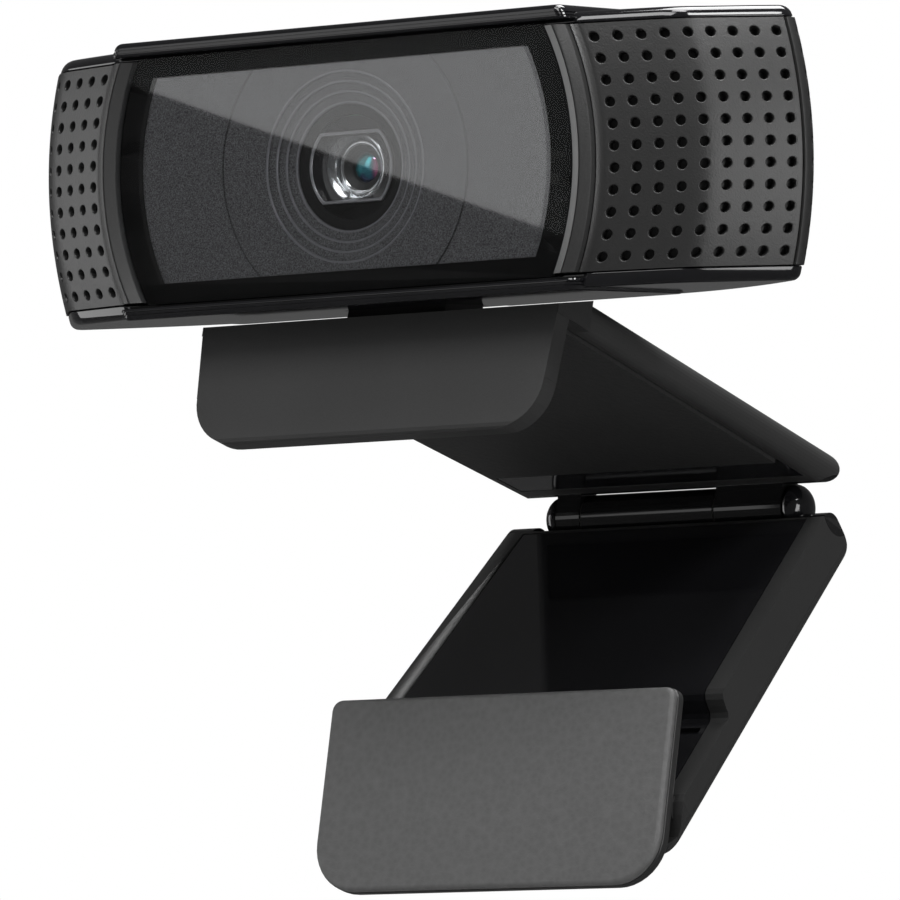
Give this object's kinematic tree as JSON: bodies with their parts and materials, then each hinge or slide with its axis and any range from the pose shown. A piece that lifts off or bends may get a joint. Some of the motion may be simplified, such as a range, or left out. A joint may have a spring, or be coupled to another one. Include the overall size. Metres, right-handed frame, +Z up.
{
  "type": "webcam",
  "caption": "Wide webcam head with a glass front, turned grille ends and a focusing lens, tilting on a folding clip that rests on a monitor's edge.",
  "frame": {"origin": "on the underside of the clip's upper pad, in the middle of its width, 20 mm behind the lip's rear face", "axes": "+Z up out of the monitor's top edge, -Y the way the camera faces, +X to the right when looking along +Y"},
  "size_m": [0.0934, 0.0744, 0.0834],
  "materials": {
    "clear_glass": "polished flat, lightly smoked",
    "black_print": "opaque screen print",
    "grey_faceplate": "satin with fine speckle",
    "frame_plastic": "grainy outside, satin inside",
    "gloss_black": "piano black",
    "satin_black": "fine moulded grain",
    "matte_black": "matt",
    "lens_glass": "coated",
    "copper_wire": "enamelled winding",
    "magnet_metal": "nickel plated",
    "spring_brass": "thin sheet",
    "chip_black": "matt",
    "board_green": "solder mask",
    "bright_steel": "plated",
    "white_plastic": "plain",
    "black_rubber": "matt",
    "clear_plastic": "clear",
    "grey_rubber": "fine leather grain",
    "insert_brass": "turned"
  },
  "bodies": {
    "bracket": {"bracket": "satin_black", "bracket_liner": "gloss_black", "upper_pad": "grey_rubber", "main_hinge_pin": "bright_steel", "hinge_caps": "gloss_black", "hinge_washers": "white_plastic", "tilt_pin": "bright_steel", "friction_washers": "white_plastic"},
    "lens": {"lens_barrel": "matte_black", "front_lens": "lens_glass", "rear_lenses": "lens_glass", "lens_spacer": "matte_black", "focus_coil": "copper_wire"},
    "lower_arm": {"arm_shell": "satin_black", "arm_panel": "gloss_black", "tripod_insert": "insert_brass", "foot_pin": "bright_steel"},
    "foot": {"foot_plate": "satin_black", "foot_pad": "grey_rubber"},
    "head": {"front_glass": "clear_glass", "glass_mask": "black_print", "inner_faceplate": "grey_faceplate", "side_frames": "frame_plastic", "top_cover": "gloss_black", "bottom_cover": "gloss_black", "left_grille": "satin_black", "right_grille": "satin_black", "rear_housing": "satin_black", "lens_bezel": "gloss_black", "focus_magnets": "magnet_metal", "lens_holder": "matte_black", "focus_springs": "spring_brass", "infrared_filter": "lens_glass", "image_sensor": "chip_black", "main_board": "board_green", "image_processor": "chip_black", "shield_can": "bright_steel", "cable_connector": "white_plastic", "left_microphone": "bright_steel", "right_microphone": "bright_steel", "microphone_boots": "black_rubber", "status_leds": "white_plastic", "light_guides": "clear_plastic", "housing_screws": "bright_steel", "cable_gland": "black_rubber", "tilt_cradle": "bright_steel", "cradle_screws": "bright_steel"}
  },
  "joints": [
    {"name": "head_tilt", "type": "hinge", "parent": "bracket", "child": "head", "pos_m": [0, -0.01555, 0.00925], "axis": [1, 0, 0], "range_deg": [-17.5, 3]},
    {"name": "lens_focus", "type": "slide", "parent": "head", "child": "lens", "axis": [0, -0.9537, -0.3007], "range_m": [0, 0.0004], "stiffness_N_per_m": 60},
    {"name": "arm_fold", "type": "hinge", "parent": "bracket", "child": "lower_arm", "pos_m": [0, 0.0349, -0.0016], "axis": [1, 0, 0], "range_deg": [-45, 120]},
    {"name": "foot_fold", "type": "hinge", "parent": "lower_arm", "child": "foot", "pos_m": [0, 0.01218, -0.04094], "axis": [1, 0, 0], "range_deg": [-37, 0]}
  ]
}
